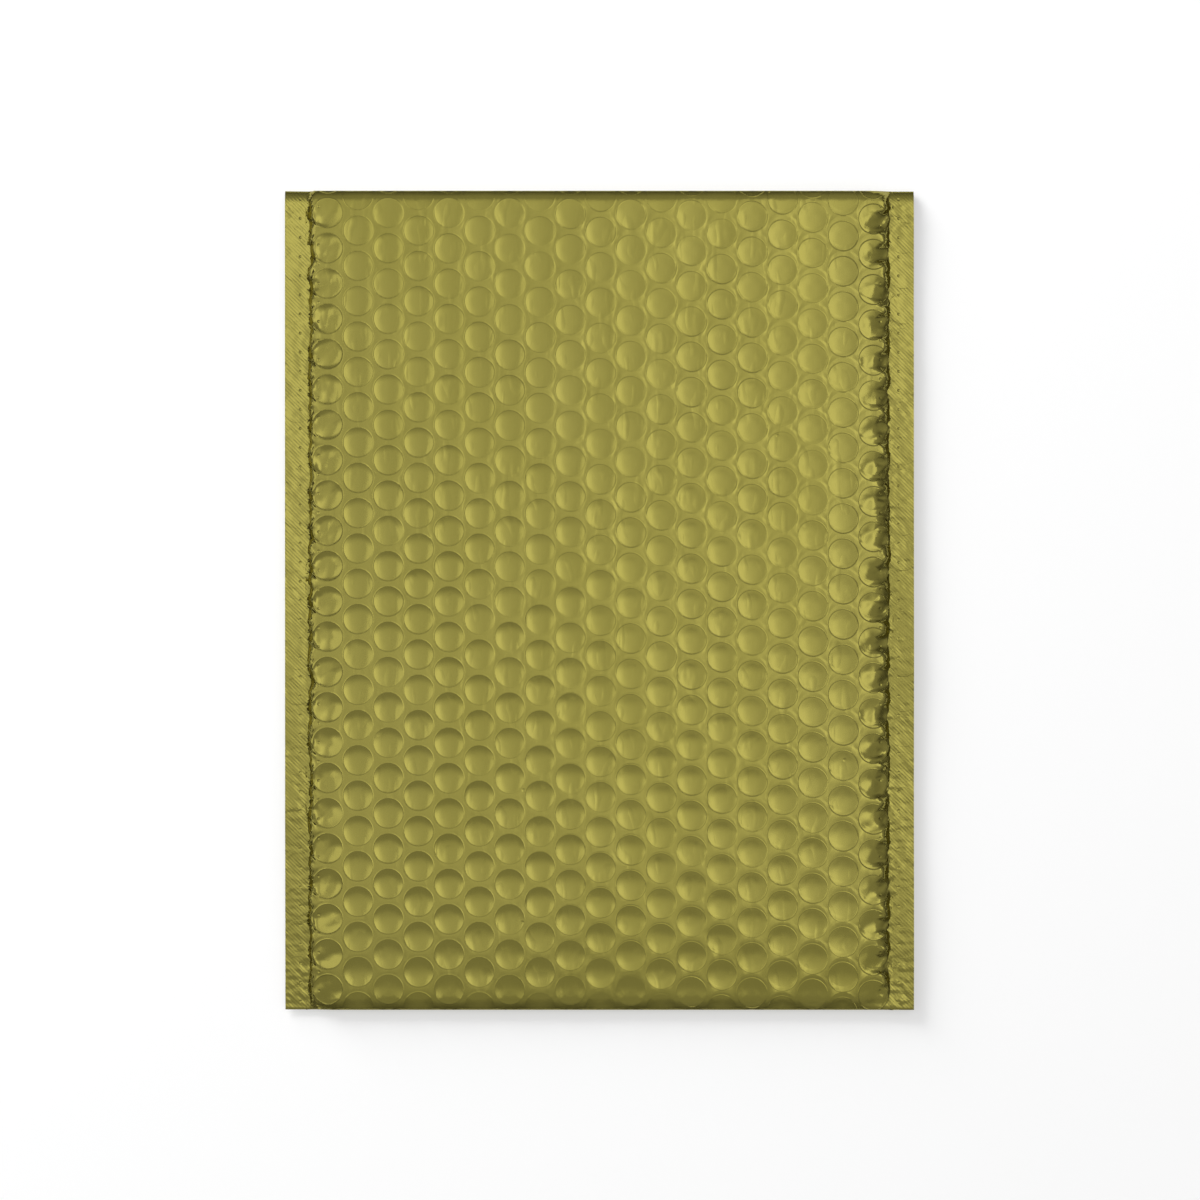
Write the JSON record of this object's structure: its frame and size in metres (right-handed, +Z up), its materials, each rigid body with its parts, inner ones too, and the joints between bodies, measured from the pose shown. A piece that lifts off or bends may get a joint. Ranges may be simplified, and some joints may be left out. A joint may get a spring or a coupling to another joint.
{
  "type": "padded envelope",
  "caption": "Flat padded mailing envelope of metallic olive-gold film over a bubble film lining, heat-sealed at the sides, with its adhesive closing flap folded under the back.",
  "frame": {"origin": "centre of the footprint, on the surface that the envelope rests on", "axes": "+X across the width, to the right when the front is seen with the mouth at the top. +Y along the length, from the bottom fold to the mouth. +Z up, out of the front panel"},
  "size_m": [0.215, 0.28, 0.0072],
  "materials": {
    "olive_metallic_film": "satin metallised film",
    "clear_bubble_film": "clear glossy film",
    "adhesive": "tacky gloss",
    "release_film": "smooth satin"
  },
  "bodies": {
    "root": {"outer_film": "olive_metallic_film", "bubble_lining": "clear_bubble_film", "adhesive_strip": "adhesive", "release_liner": "release_film"}
  },
  "joints": []
}
